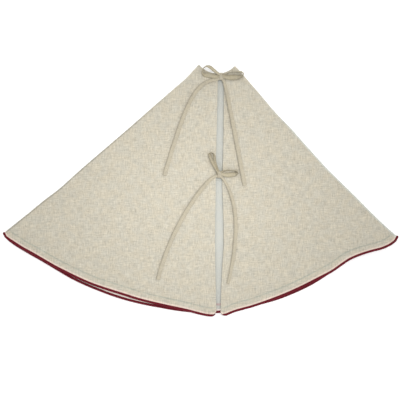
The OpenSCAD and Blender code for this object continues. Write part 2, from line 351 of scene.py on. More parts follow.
def twisted_cord(name, line, radius, material, strands=3, pitch=8.0, groove=0.1, sides=15):
    """A cord of strands laid round each other, with a groove between them."""
    run = run_along(line)
    a = turn_angles(sides)

    def section(i):
        turn = 2 * math.pi * run[i] / pitch
        r = radius * (1 - groove + groove * np.abs(np.cos(strands / 2 * (a - turn))))
        return np.stack([np.cos(a) * r, np.sin(a) * r], -1)

    return swept(name, line, section, material, along_cut(line))


# ---------------------------------------------------------------- materials

class Tree:
    """A material's nodes. A value given to a node is a number, a vector or colour, or another's output."""

    def __init__(self, name):
        self.material = bpy.data.materials.new(name)
        self.material.use_nodes = True
        self.tree = self.material.node_tree
        self.tree.nodes.clear()
        out = self.node("OutputMaterial")
        self.shader = self.node("BsdfPrincipled")
        self.put(out.inputs["Surface"], self.shader.outputs["BSDF"])

    def node(self, kind, **settings):
        n = self.tree.nodes.new("ShaderNode" + kind)
        for key, setting in settings.items():
            setattr(n, key, setting)
        return n

    def put(self, socket, value):
        if isinstance(value, bpy.types.NodeSocket):
            self.tree.links.new(value, socket)
        else:
            socket.default_value = value

    def fill(self, node, values):
        for key, value in values.items():
            self.put(node.inputs[key], value)
        return node.outputs

    def surface(self, values):
        self.fill(self.shader, values)

    def attribute(self, name, output):
        return self.node("Attribute", attribute_name=name, attribute_type="GEOMETRY").outputs[output]

    def math(self, operation, a, b=0.0, clamp=False):
        return self.fill(self.node("Math", operation=operation, use_clamp=clamp), {0: a, 1: b})[0]

    def above(self, value, middle, amount):
        """An amount times how far a value is above its middle."""
        return self.math("MULTIPLY", self.math("SUBTRACT", value, middle), amount)

    def vector(self, operation, a, b):
        second = "Scale" if operation == "SCALE" else 1
        return self.fill(self.node("VectorMath", operation=operation), {0: a, second: b})[0]

    def noise(self, vector, scale, detail, rough, output="Fac"):
        return self.fill(self.node("TexNoise"), {
            "Vector": vector, "Scale": scale, "Detail": detail, "Roughness": rough,
        })[output]

    def step(self, value, low, high):
        """0 up to low and 1 from high on, with a smooth rise between."""
        n = self.node("MapRange", interpolation_type="SMOOTHSTEP")
        return self.fill(n, {"Value": value, "From Min": low, "From Max": high})["Result"]

    def separate(self, vector):
        return self.fill(self.node("SeparateXYZ"), {0: vector})

    def mix(self, factor, a, b):
        """A mix of two colours, which are a Mix node's inputs 6 and 7 and its output 2."""
        return self.fill(self.node("Mix", data_type="RGBA"), {0: factor, 6: a, 7: b})[2]

    def bump(self, height, distance, strength, under=None):
        values = {"Height": height, "Distance": distance, "Strength": strength}
        if under is not None:
            values["Normal"] = under
        return self.fill(self.node("Bump"), values)["Normal"]

    def plain_weave(self, vector, pitch):
        """Threads over and under each other, 0 to 1, pitch mm from one to the next."""
        x, y, _ = self.separate(self.vector("SCALE", vector, math.pi / pitch))
        warp = self.math("ABSOLUTE", self.math("SINE", x))
        weft = self.math("ABSOLUTE", self.math("SINE", y))
        lag = 1.5708
        over = self.step(
            self.math("MULTIPLY", self.math("SINE", self.math("ADD", x, lag)),
                      self.math("SINE", self.math("ADD", y, lag))), -0.25, 0.25)
        inverse = self.math("SUBTRACT", 1.0, over)
        return self.math("ADD", self.math("MULTIPLY", warp, over), self.math("MULTIPLY", weft, inverse))


YARN, SLUB = 1.8, 18  # width and length of the cloth's uneven yarns
SPECK_WIDE, SPECK_LONG = 1.3, 6
DRIFT = 9.0  # how far the yarns wander
HEM_PAINTED_HIGHLIGHT = (0.66, 0.47, 0.42, 1)  # painted highlight: pale pink colour painted on the cloth's rolled edge beside the piping
# Painted shade: how much darker the painted fold shade makes a pressed fold's edge
FOLD_PAINTED_SHADE = 0.30
CORD_TURN = 2.2  # radians that a yarn winds on, to a mm round it


def woven(name, base, cool, dark, streak, mottle, weave, sheen, speck, seam_tint=None, seam_amount=0.0,
          seam_width=0.0, hem_painted_highlight=0.0, edge_painted_shade=0.0, fold_painted_tint=None):
    """Slubby plain-weave cloth: uneven warp and weft yarns, mottling, specks and a fine weave with painted
    relief shade.
    It may also paint a highlight along the hem, shade at folds and shade along a ribbon's edges.
    """
    t = Tree(name)
    cut = t.attribute("cut", "Vector")
    flat = t.vector("MULTIPLY", cut, (1, 1, 0))
    wobble = t.noise(flat, 0.035, 1.0, 0.5, "Color")
    cloth = t.vector("ADD", flat, t.vector("SCALE", t.vector("SUBTRACT", wobble, (0.5, 0.5, 0.5)), DRIFT))

    def yarns(wide, long, shift, detail, rough):
        """Noise drawn out along the warp, and along the weft."""
        warp = t.vector("MULTIPLY", cloth, (1 / wide, 1 / long, 0))
        weft = t.vector("ADD", t.vector("MULTIPLY", cloth, (1 / long, 1 / wide, 0)), shift)
        return [t.noise(way, 1.0, detail, rough) for way in (warp, weft)]

    warp, weft = yarns(YARN, SLUB, (37.0, 11.0, 5.0), 3.0, 0.6)
    both = t.math("ADD", warp, weft)
    slow = t.noise(t.vector("ADD", cloth, (91.0, 7.0, 0)), 1 / 60, 2.0, 0.5)
    hue = t.noise(t.vector("ADD", cloth, (11.0, 300.0, 0)), 1 / 20, 2.0, 0.6)
    specks = t.math("ADD", *(
        t.step(value, 0.63, 0.76) for value in yarns(SPECK_WIDE, SPECK_LONG, (5.0, 70.0, 9.0), 1.0, 0.5)))
    fine = t.plain_weave(cloth, weave)
    light = t.math("ADD", 1.0, t.above(both, 1.0, streak))
    light = t.math("ADD", light, t.above(slow, 0.5, mottle))
    # Painted shade: the weave's raised threads are painted lighter and its hollows darker
    light = t.math("ADD", light, t.above(fine, 0.75, 0.10))
    light = t.math("SUBTRACT", light, t.math("MULTIPLY", specks, speck))
    colour = t.mix(t.step(hue, 0.35, 0.65), base, cool)
    colour = t.mix(t.math("MULTIPLY", specks, 0.35, clamp=True), colour, dark)
    hem = t.separate(cut)[2]
    if seam_tint:
        near = t.math("ABSOLUTE", t.math("SUBTRACT", hem, STITCH_UP))
        band = t.math("SUBTRACT", 1.0, t.step(near, 0.6, seam_width))
        broken = t.step(t.noise(flat, 1 / 12, 2.0, 0.6), 0.30, 0.55)
        amount = t.math("MULTIPLY", t.math("MULTIPLY", band, seam_amount), broken)
        colour = t.mix(amount, colour, seam_tint)
    # Painted highlight: a band about 0.2 to 5.5 mm from the hem, beside the piping, is painted lighter and
    # tinted pale pink
    if hem_painted_highlight:
        painted_highlight_band = t.math("MULTIPLY", t.step(hem, 0.2, 1.2), t.math("SUBTRACT", 1.0, t.step(hem, 2.6, 5.5)))
        light = t.math("ADD", light, t.math("MULTIPLY", painted_highlight_band, hem_painted_highlight))
        colour = t.mix(t.math("MULTIPLY", painted_highlight_band, 0.45), colour, HEM_PAINTED_HIGHLIGHT)
    # Painted shade at folds: the fold attribute above 0 paints a fold's edge darker, below 0 paints it pale
    # grey
    if fold_painted_tint:
        fold = t.attribute("fold", "Fac")
        painted_fold_shade = t.math("MULTIPLY", t.math("MAXIMUM", fold, 0.0), FOLD_PAINTED_SHADE)
        light = t.math("SUBTRACT", light, painted_fold_shade)
        colour = t.mix(t.math("MAXIMUM", t.math("MULTIPLY", fold, -0.8), 0.0), colour, fold_painted_tint)
    # Painted shade: a ribbon's edges, or its one marked edge, are painted darker
    if edge_painted_shade:
        light = t.math("SUBTRACT", light, t.math("MULTIPLY", t.step(hem, 0.3, 0.9), edge_painted_shade))
    t.surface({
        "Base Color": t.vector("SCALE", colour, light),
        "Roughness": t.math("ADD", 0.8, t.math("MULTIPLY", warp, 0.1)),
        "Sheen Weight": sheen, "Sheen Roughness": 0.6, "Specular IOR Level": 0.2,
        "Normal": t.bump(fine, 0.00012, 0.5, t.bump(both, 0.0006, 0.5)),
    })
    return t.material


def piping_cloth(name, base, deep):
    """Bias-cut plain cloth, drawn tight round a cord."""
    t = Tree(name)
    cut = t.attribute("cut", "Vector")
    bias = t.fill(t.node("VectorRotate", rotation_type="Z_AXIS"), {
        "Vector": t.vector("MULTIPLY", cut, (1, 1, 0)), "Angle": math.radians(45),
    })[0]
    fine = t.plain_weave(bias, 0.55)
    slow = t.noise(t.vector("MULTIPLY", cut, (1 / 9, 1 / 3, 0)), 1.0, 2.0, 0.6)
    # Painted shade: the bias weave's raised threads are painted lighter and its hollows darker
    light = t.math("ADD", 0.9, t.above(fine, 0.6, 0.25))
    light = t.math("ADD", light, t.above(slow, 0.5, 0.5))
    t.surface({
        "Base Color": t.vector("SCALE", t.mix(t.step(slow, 0.35, 0.7), base, deep), light),
        "Roughness": t.math("ADD", 0.55, t.math("MULTIPLY", slow, 0.2)),
        "Sheen Weight": 0.04, "Sheen Tint": (0.6, 0.1, 0.15, 1), "Specular IOR Level": 0.15,
        "Normal": t.bump(fine, 0.00015, 0.6),
    })
    return t.material


def yarn(name, base, deep, pitch):
    """Twisted cotton: strands that wind round the cord."""
    t = Tree(name)
    cut = t.attribute("cut", "Vector")
    x, y, _ = t.separate(cut)
    turns = t.math("ADD", t.math("MULTIPLY", x, 2 * math.pi / pitch), t.math("MULTIPLY", y, CORD_TURN))
    height = t.math("ADD", 0.5, t.math("MULTIPLY", t.math("SINE", turns), 0.5))
    fuzz = t.noise(cut, 1.5, 3.0, 0.6)
    # Painted shade: the grooves between the strands are mixed towards the deep colour, the strands' crowns
    # towards the base
    colour = t.mix(t.math("MULTIPLY", height, 0.7), deep, base)
    t.surface({
        "Base Color": t.vector("SCALE", colour, t.math("ADD", 0.85, t.math("MULTIPLY", fuzz, 0.3))),
        "Roughness": t.math("ADD", 0.75, t.math("MULTIPLY", fuzz, 0.15)),
        "Sheen Weight": 0.2,
        "Normal": t.bump(height, 0.0003, 0.7),
    })
    return t.material


FACE = woven(
    "linen_face", (0.524, 0.479, 0.379, 1), (0.502, 0.472, 0.389, 1), (0.27, 0.22, 0.15, 1),
    streak=0.80, mottle=0.05, weave=0.85, sheen=0.25, speck=0.15, seam_tint=(0.40, 0.41, 0.34, 1),
    seam_amount=0.7, seam_width=3.2, hem_painted_highlight=0.26, fold_painted_tint=(0.53, 0.55, 0.50, 1),
)
LINING = woven(
    "cotton_lining", (0.548, 0.550, 0.498, 1), (0.538, 0.544, 0.503, 1), (0.42, 0.41, 0.36, 1),
    streak=0.10, mottle=0.08, weave=0.5, sheen=0.15, speck=0.02, seam_tint=(0.50, 0.34, 0.33, 1),
    seam_amount=0.85, seam_width=4.6, hem_painted_highlight=0.45,
)
# Ties: the face linen made darker and browner, partly the doubled cloth's own deeper tone and partly painted
# shade for the narrow ribbons
TIE_LINEN_SHADED = woven(
    "linen_ties_part_painted_shade", (0.458, 0.410, 0.308, 1), (0.438, 0.397, 0.306, 1), (0.27, 0.24, 0.17, 1),
    streak=0.40, mottle=0.20, weave=0.85, sheen=0.15, speck=0.15, edge_painted_shade=0.22,
)
# Loops: the tie linen painted darker and yellower, as painted shade inside and under the bows' loops
LOOP_LINEN_SHADED = woven(
    "linen_loops_painted_shade", (0.450, 0.398, 0.280, 1), (0.430, 0.386, 0.285, 1), (0.25, 0.22, 0.15, 1),
    streak=0.50, mottle=0.25, weave=0.85, sheen=0.1, speck=0.18, edge_painted_shade=0.24,
)
PIPING = piping_cloth("burgundy_piping", (0.160, 0.006, 0.016, 1), (0.100, 0.004, 0.009, 1))
# Painted shade: each yarn's second colour is the shade painted into the grooves between its strands
CORD = yarn("cotton_cord", (0.78, 0.75, 0.68, 1), (0.60, 0.57, 0.50, 1), 4.0)
THREAD = yarn("sewing_thread", (0.44, 0.44, 0.37, 1), (0.33, 0.33, 0.28, 1), 0.8)


# ---------------------------------------------------------------- cloth panels

CLOTH_STEP = 7.0
# Distances of a cloth's rows and columns from its edges, where they lie closer together
NECK_ROWS, HEM_ROWS = [0, 0.5, 1.5, 3, 6], [0, 0.8, 2, 3.5, 5, 7, 9, 11, 14, 18]
FOLD_COLUMNS, SLIT_COLUMNS = [0, 3, 6], [0, 0.4, 1, 2, 3, 4.5, 6, 8, 10, 13]
CLOTH_LONG, FIRST_LONG = 545.0, 550  # about the distance from neck to hem, and a first try at it
WIDE_PER_50 = 500.0  # about a layer's width, for each 50 degrees between its edges
FOLD_CALM, HEM_CALM, NECK_CALM = 34, 26, 24  # the waves die out over these distances
NEAR_SLIT = 10.0  # about how far the slit's edges lie from the neck's middle, sideways
SEAM_LOW, SEAM_HIGH = 0.42, 1.12  # heights of the two cloths' middles where they are sewn together
TUBE_HOLD = 0.32  # half the distance between them where they hold the piping
EDGE_THIN = 0.55  # how much of a cloth's thickness is left at a pressed edge


def spaced(length, start, end):
    """Shares of a length, 0 to 1: close ones near each end, then a step apart."""
    inner = np.linspace(start[-1], length - end[-1],
                        max(2, int(round((length - start[-1] - end[-1]) / CLOTH_STEP)) + 1))
    return np.concatenate([start[:-1], inner, [length - e for e in end[-2::-1]]]) / length


class Layer:
    """One layer of the skirt, between two folds or a fold and the slit. z is its floor, left and right its
    edges' angles, hem its piping's radius by angle, corner the radius of its corner at the slit, and wave
    the height of its waves."""

    def __init__(self, z, face_up, left, right, hem, slit=None, corner=0.0, wave=1.0):
        self.z, self.face_up, self.left, self.right = z, face_up, left, right
        self.hem, self.slit, self.corner, self.wave = hem, slit, corner, wave

    def slit_x(self, y):
        return slit_left(-y) if self.slit == "left" else slit_right(-y)

    def slit_gap(self, x, y):
        """mm from the slit's edge, or far away."""
        if self.slit is None:
            return np.full(np.shape(x), FAR)
        gap = self.slit_x(y) - x if self.slit == "left" else x - self.slit_x(y)
        return np.maximum(gap, 0)

    def hem_r(self, a, gap):
        """Radius of the cloth's edge: the piping's middle less its radius, rounded at the slit."""
        c = self.corner
        inside = np.clip(c - gap, 0, c)
        drop = c - np.sqrt(np.maximum(c * c - inside * inside, 0))
        return self.hem(a) - TUBE_R + TUBE_GRIP - drop

    def edges(self, r):
        """Angles of the left and right edges at radius r."""
        y = -np.sqrt(np.maximum(r * r - NEAR_SLIT**2, 1))
        if self.slit == "right":
            left = np.degrees(np.arcsin(np.clip(self.slit_x(y) / r, -1, 1)))
        else:
            left = self.left + np.degrees(fold_in_left(r) / r)
        if self.slit == "left":
            right = np.degrees(np.arcsin(np.clip(self.slit_x(y) / r, -1, 1)))
        else:
            right = self.right - np.degrees(fold_in_right(r) / r)
        return left, right

    def fold_gap(self, a, r):
        """mm from the nearest fold."""
        left, right = self.edges(r)
        gap = np.full(np.shape(a), FAR)
        if self.slit != "right":
            gap = np.minimum(gap, r * np.sin(np.radians(np.maximum(a - left, 0))))
        if self.slit != "left":
            gap = np.minimum(gap, r * np.sin(np.radians(np.maximum(right - a, 0))))
        return gap

    def plan(self):
        """Grids (rows, columns) of x, y, and mm to the hem, neck, slit and nearest fold."""
        rows = spaced(CLOTH_LONG, NECK_ROWS, HEM_ROWS)
        columns = spaced(WIDE_PER_50 * abs(self.right - self.left) / 50,
                         FOLD_COLUMNS if self.slit != "right" else SLIT_COLUMNS,
                         FOLD_COLUMNS if self.slit != "left" else SLIT_COLUMNS)
        s, c = np.meshgrid(rows, columns, indexing="ij")
        r = NECK_R + s * FIRST_LONG
        for _ in range(3):  # the edges depend on the radius, and the radius on the edges
            left, right = self.edges(r)
            a = lerp(left, right, c)
            u = heading(a)
            gap = self.slit_gap(r * u[..., 0], r * u[..., 1])
            r = NECK_R + s * (self.hem_r(a, gap) - NECK_R)
        return (r * u[..., 0], r * u[..., 1], self.hem_r(a, gap) - r, r - NECK_R, gap,
                self.fold_gap(a, r))

    def heights(self, which, x, y, hem, neck, gap, folds):
        """z of the cloth's middle, and its thickness."""
        low, high = (LINING_T, FACE_T) if self.face_up else (FACE_T, LINING_T)
        is_low = (which == "lining") == self.face_up
        z = self.z + (low / 2 if is_low else LAYER_T - high / 2)
        edge = smooth(1 - np.minimum(gap, neck) / EDGE_ROLL)
        z = lerp(z, self.z + (SEAM_LOW if is_low else SEAM_HIGH), edge)
        tube = self.z + TUBE_R + (-TUBE_HOLD if is_low else TUBE_HOLD)
        z = lerp(z, tube, smooth(1 - hem / HEM_RISE))
        fade = smooth(folds / FOLD_CALM) * smooth(hem / HEM_CALM - 0.1) * smooth(neck / NECK_CALM)
        z = z + waves(x, y) * self.wave * fade
        return z, (low if is_low else high) * lerp(1.0, EDGE_THIN, edge)


def fold_strip(layer, partner, which, side, reach, rows):
    """Columns of points round a fold, from the layer's edge to the partner's, and cut values."""
    out = outward(layer.left if side < 0 else layer.right, side)
    x, y, hem, neck = rows
    far = np.full(x.shape, FAR)
    zero = np.zeros(x.shape)
    z_a, t_a = layer.heights(which, x, y, hem, neck, far, zero)
    z_b, t_b = partner.heights(which, x, y, hem, neck, far, zero)
    centre, radius = (z_a + z_b) / 2, (z_a - z_b) / 2
    grid, thick, cut = [], [], []
    for p in np.linspace(0, math.pi, 13)[1:]:
        push = reach * np.abs(radius) * math.sin(p)
        grid.append(np.stack([x + out[0] * push, y + out[1] * push, centre + radius * math.cos(p)], -1))
        thick.append(lerp(t_a, t_b, p / math.pi))
        arc = np.abs(radius) * p
        cut.append(np.stack([x + out[0] * arc, y + out[1] * arc, hem], -1))
    return np.stack(grid, 1), np.stack(thick, 1), np.stack(cut, 1)


LAYERS = {
    "front_left": Layer(FRONT_Z, True, FOLD_LEFT, 0.0, hem_left, "left", CORNER_LEFT),
    "front_right": Layer(FRONT_Z, True, 1.0, FOLD_RIGHT, hem_right, "right", CORNER_RIGHT),
    "second": Layer(SECOND_Z, False, FOLD_LEFT, FOLD_RIGHT_UNDER, hem_back, wave=0.9),
    "third": Layer(THIRD_Z, True, FOLD_LEFT_UNDER, FOLD_RIGHT_UNDER, lambda a: hem_back(a) - 2.0, wave=0.8),
    "bottom": Layer(BOTTOM_Z, False, FOLD_LEFT_UNDER, FOLD_RIGHT, lambda a: hem_back(a) - 1.0, wave=0.4),
}


def cloth_piece(name, key, which, strip=None):
    """One cloth of a layer, with the cloth of a fold at its edge. strip is (partner's key, side, reach,
    painted fold shade). Returns the object and its middle surface."""
    layer = LAYERS[key]
    x, y, hem, neck, gap, folds = layer.plan()
    z, thick = layer.heights(which, x, y, hem, neck, gap, folds)
    grid = np.stack([x, y, z], -1)
    cut = np.stack([x, y, hem], -1)
    fold = np.zeros(z.shape)
    if strip:
        partner, side, reach, shade = strip
        column = 0 if side < 0 else -1
        rows = (x[:, column], y[:, column], hem[:, column], neck[:, column])
        g, t, c = fold_strip(layer, LAYERS[partner], which, side, reach, rows)
        # The fold strip carries the painted fold shade, which fades near the neck
        f = np.full(t.shape, shade) * smooth((neck[:, column, None] - 50) / 200)  # fades near the neck
        if side < 0:
            g, t, c = g[:, ::-1], t[:, ::-1], c[:, ::-1]
            pairs = ((g, grid), (t, thick), (c, cut), (f, fold))
        else:
            pairs = ((grid, g), (thick, t), (cut, c), (fold, f))
        grid, thick, cut, fold = (np.concatenate(p, 1) for p in pairs)
    n = grid_normals(grid) * (thick[..., None] / 2)
    return slab(name, grid + n, grid - n, cut, FACE if which == "face" else LINING, fold), grid


def settle(obj, nodes, body=None, blend=None):
    """Bakes the transform of a piece that is given a blend, leaving it fixed in world space, or else hangs
    it on the body it rides on, and hides the CAD nodes it stands for.
    blend is (fixed body, moving body, start, end); its values are not used, only whether it is given."""
    if blend:
        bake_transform(obj)
    else:
        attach(obj, body)
    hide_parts(*nodes)


CLOTHS = [
    # name, layer, fold strip, nodes' prefixes, body, blend
    # A fold strip's last value is its painted shade: 1 darkens the left fold, -1 paints the right fold pale
    # grey
    ("front_left", "front_left", ("second", -1, 1.3, 1.0), ["front_left", "left_front_fold"],
     None, (ROOT, LEFT, (0, 0, 12.2), (0, 0, 14.6))),
    ("front_right", "front_right", ("bottom", 1, 0.6, -1.0), ["front_right", "right_outer_fold"],
     None, (ROOT, RIGHT, (0, 0, 3.0), (0, 0, 13.6))),
    ("second_layer", "second", ("third", 1, FOLD_REACH, 0.0), ["second_layer", "right_inner_fold"],
     ROOT, None),
    ("third_layer", "third", None, ["third_layer"], ROOT, None),
    ("bottom_layer", "bottom", ("third", -1, FOLD_REACH, 0.0), ["bottom_layer", "left_back_fold"],
     ROOT, None),
]
cloth_pieces = {}
for name, key, strip, prefixes, body, blend in CLOTHS:
    for which in ("face", "lining"):
        obj, grid = cloth_piece(f"{name}_{which}_cloth", key, which, strip)
        settle(obj, [f"{p}_{which}" for p in prefixes], body, blend)
        cloth_pieces[name, which] = (obj, grid)

# ---------------------------------------------------------------- piping

HEM_STEP = 0.4  # degrees


def hem_line(layer, a0, a1):
    """The piping's middle along a layer's hem, round the slit's corner where there is one."""
    angles = np.linspace(a0, a1, max(2, int(abs(a1 - a0) / HEM_STEP)))
    line = heading(angles) * layer.hem(angles)[:, None]
    if layer.slit:
        sign = -1 if layer.slit == "left" else 1
        edge = float(layer.slit_x(np.array(line[-1 if sign < 0 else 0][1])))
        middle_x = edge + sign * layer.corner
        line = line[line[:, 0] * sign > middle_x * sign]
        end = line[-1] if sign < 0 else line[0]
        r = layer.corner + TUBE_R
        way = np.radians(np.linspace(-90, -50, 10))
        turn = np.stack([middle_x - sign * r * np.cos(way), end[1] + r + r * np.sin(way)], -1)
        line = np.concatenate([line, turn]) if sign < 0 else np.concatenate([turn[::-1], line])
    return np.column_stack([line, np.full(len(line), layer.z + TUBE_R)])


def turn_line(a, side, low, high, hem, reach):
    """The piping's middle round a fold, from the layer on floor low to the one on floor high."""
    low, high = low + TUBE_R, high + TUBE_R
    p = np.linspace(0, math.pi, 17)
    radius = (high - low) / 2
    out = outward(a, side)
    push = radius * reach * np.sin(p)
    base = heading(a) * float(hem(a))
    return np.column_stack([
        base[0] + out[0] * push, base[1] + out[1] * push, (low + high) / 2 - radius * np.cos(p),
    ])


def dipped(line, at_start, depth=1.6, run=12.0, taper=8.0, tip=0.9):
    """The end of a piping line goes down into its seam and tapers: (line, radii)."""
    d = run_along(line)
    if not at_start:
        d = d[-1] - d
    line = line.copy()
    line[:, 2] -= depth * smooth(1 - d / run)
    return line, lerp(tip, TUBE_R, smooth(d / taper))


def piping_set(name, line, body, fold=None, dip=None, radius=TUBE_R):
    """A layer's piping and the cord in it. fold names a fold whose piping it includes, and dip says
    whether the start (True) or the end (False) goes down into the seam at the slit."""
    line = inner = resample(line, 2.0)
    if dip is not None:
        line, radius = dipped(line, dip)
        inner = line[6:] if dip else line[:-6]  # no cord where it tapers
    nodes = [f"{name}_piping"] + ([f"{fold}_piping"] if fold else [])
    settle(tube(f"{name}_piping_tube", line, radius, PIPING), nodes, body)
    cord = twisted_cord(f"{name}_filler_cord", resample(inner, 1.6)[2:-2], CORD_R, CORD)
    settle(cord, [f"{name}_filler"], body)


second, third, bottom = LAYERS["second"], LAYERS["third"], LAYERS["bottom"]
front_left_line = hem_line(LAYERS["front_left"], FOLD_LEFT + FOLD_TRIM, 0.5)
front_right_line = hem_line(LAYERS["front_right"], 0.2, FOLD_RIGHT)
second_line = np.concatenate([
    hem_line(second, FOLD_LEFT + FOLD_TRIM, FOLD_RIGHT_UNDER),
    turn_line(FOLD_RIGHT_UNDER, 1, THIRD_Z, SECOND_Z, second.hem, FOLD_REACH)[::-1][1:-1],
])
third_line = hem_line(third, FOLD_LEFT_UNDER, FOLD_RIGHT_UNDER)
bottom_line = np.concatenate([
    turn_line(FOLD_LEFT_UNDER, -1, BOTTOM_Z, THIRD_Z, bottom.hem, FOLD_REACH)[::-1][1:-1],
    hem_line(bottom, FOLD_LEFT_UNDER, FOLD_RIGHT),
])
piping_set("front_left", front_left_line, LEFT, dip=False)
piping_set("front_right", front_right_line, RIGHT, dip=True)
piping_set("second_layer", second_line, ROOT, "right_inner_fold", radius=BACK_TUBE_R)
piping_set("third_layer", third_line, ROOT)
piping_set("bottom_layer", bottom_line, ROOT, "left_back_fold")

left_turn_line = np.concatenate([
    second_line[:1], turn_line(FOLD_LEFT, -1, SECOND_Z, FRONT_Z, hem_left, FOLD_REACH),
    front_left_line[:1],
])
right_turn_line = turn_line(FOLD_RIGHT, 1, BOTTOM_Z, FRONT_Z, hem_right, 0.5)
for name, line, body, z0, z1 in (
    ("left_front_fold", left_turn_line, LEFT, 13.3, 16.3),
    ("right_outer_fold", right_turn_line, RIGHT, 4.6, 15.0),
):
    turn = tube(f"{name}_piping_turn", line, TUBE_R, PIPING)
    settle(turn, [f"{name}_piping"], blend=(ROOT, body, (0, 0, z0), (0, 0, z1)))


# ---------------------------------------------------------------- topstitching

STITCH_STEP = 1.5  # half a stitch's pitch
STITCH_SHARE = 0.78  # how much of the pitch the thread covers
THREAD_WIDE, THREAD_TALL, THREAD_SIDES = 0.34, 0.22, 6
# Where a stitch's rings are, over its length, and how thick it is there
STITCH_RINGS = ((0, 0.3), (0.2, 1), (0.8, 1), (1, 0.3))


def top_at(x, y, key):
    """Height of a front panel's face at a point."""
    layer = LAYERS[key]
    a = np.degrees(np.arctan2(x, -np.asarray(y)))
    r = np.hypot(x, y)
    gap = layer.slit_gap(x, y)
    hem = np.maximum(layer.hem_r(a, gap) - r, 0)
    z, t = layer.heights("face", x, y, hem, r - NECK_R, gap, layer.fold_gap(a, r))
    return z + t / 2


def stitches(key, a0, a1):
    """Single stitches of thread in a row along the hem."""
    layer = LAYERS[key]
    angles = np.linspace(a0, a1, 200)
    line = heading(angles) * (layer.hem(angles) - TUBE_R - STITCH_UP)[:, None]
    line = resample(line, STITCH_STEP)
    ring = circle(THREAD_SIDES) * [THREAD_WIDE, THREAD_TALL]
    vertices, cuts, quads, caps = [], [], [], []
    n = THREAD_SIDES
    for i in range(0, len(line) - 2, 2):
        a, b = line[i], line[i] + (line[i + 2] - line[i]) * STITCH_SHARE
        way = (b - a) / np.linalg.norm(b - a)
        side = np.array([way[1], -way[0]])
        start = len(vertices)
        for share, size in STITCH_RINGS:
            p = lerp(a, b, share)
            z = float(top_at(p[0], p[1], key)) + 0.10 * size
            for s in ring * size:
                vertices.append([p[0] + side[0] * s[0], p[1] + side[1] * s[0], z + s[1]])
                cuts.append([i + share * 2, s[0], 0])
        for q in range(start, len(vertices) - n, n):
            quads += [(q + j, q + (j + 1) % n, q + n + (j + 1) % n, q + n + j) for j in range(n)]
        caps.append(range(start + n - 1, start - 1, -1))
        caps.append(range(len(vertices) - n, len(vertices)))
    return make_object(f"{key}_stitches", np.array(vertices), [np.array(quads), np.array(caps)],
                       cuts, THREAD)


settle(stitches("front_left", FOLD_LEFT + 0.4, -1.6), ["front_left_topstitch"], LEFT)
settle(stitches("front_right", 2.2, FOLD_RIGHT - 0.4), ["front_right_topstitch"], RIGHT)

# ---------------------------------------------------------------- ties and bows

EDGE_PUFF = 0.12  # how much a tie's middle is thinner than its sewn edges
TIE_T = 1.3


def ribbon(name, controls, thickness, material, step=1.5, both_edges=True):
    """A flat tube of cloth, as (object, length). controls are (x, y, z, roll in degrees, width) in order
    along it. both_edges says whether the material paints shade on both its edges or on one."""
    c = np.array(controls, float)
    run = run_along(c[:, :3])
    p = curve(list(zip(run, c)))(np.linspace(0, run[-1], max(8, int(run[-1] / step))))
    line, roll, width = p[:, :3], np.radians(p[:, 3]), p[:, 4]
    _, side, up = frames(line)
    ups = up * np.cos(roll)[:, None] + side * np.sin(roll)[:, None]
    ca, sa = circle(20).T
    across = np.sign(ca) * np.abs(ca) ** 0.55
    tall = np.sign(sa) * np.abs(sa) ** 0.5
    puff = 1 - EDGE_PUFF + EDGE_PUFF * 2.2 * np.abs(across) ** 3
    # The cut's third value places the painted edge shade: both edges when both_edges, else only the edge
    # where across is above 0
    edge = np.abs(across) if both_edges else across

    def section(i):
        return np.stack([across * width[i] / 2, tall * puff * thickness / 2], -1)

    def cut(rings):
        values = along_cut(line)(rings)
        values[:-2, 2] = np.tile(edge, len(rings))
        return values

    length = float(np.linalg.norm(np.diff(line, axis=0), axis=1).sum())
    return swept(name, line, section, material, cut, ups), length


def bezier(p, count):
    p = np.array(p, float)
    t = np.linspace(0, 1, count)[:, None]
    s = 1 - t
    return s**3 * p[0] + 3 * s * s * t * p[1] + 3 * s * t * t * p[2] + t**3 * p[3]


TAIL_BEND = (-3.0, 11.0)  # from the lift's hinge to where a tail's bend starts and ends
TIE_LIFT = 0.3  # the gap between a tie and the cloth under it
TAILS = {
    # name: (panel, start inside the knot, route, rolls along it, widths along it)
    "upper_left": (
        "front_left", (5, -65, 19.6), [[-5, -69], [-48, -71], [-72, -115], [-122, -288]],
        [0, 24, 30, 4, -12, -16, -10, -14, -8, -6], [7, 8, 9, 9.4, 9.4, 9.2, 9.4, 9.6, 9.4, 9.4]),
    "upper_right": (
        "front_right", (10, -66, 19.6), [[15, -74], [31, -143], [42, -207], [62, -311]],
        [0, -16, -24, -16, -18, -8, -12, -10, -14, -6], [7, 8, 9, 9.6, 10, 10, 9.6, 10, 10, 9.8]),
    "lower_left": (
        "front_left", (0, -289, 19.6), [[-10, -292], [-36, -311], [-107, -404], [-137, -527]],
        [0, -14, -10, -16, -10, -6, -12, -6, -12, -8], [7, 8.5, 9.4, 9.6, 9.4, 9.4, 9.6, 9.4, 9.4, 9.2]),
    "lower_right": (
        "front_right", (8, -291, 19.6), [[14, -298], [51, -356], [47, -436], [24, -536]],
        [0, -16, -22, -12, -16, -8, -12, -6, -12, -6], [6, 7, 8.2, 8.6, 8.8, 8.6, 8.8, 8.4, 7.8, 7.2]),
}


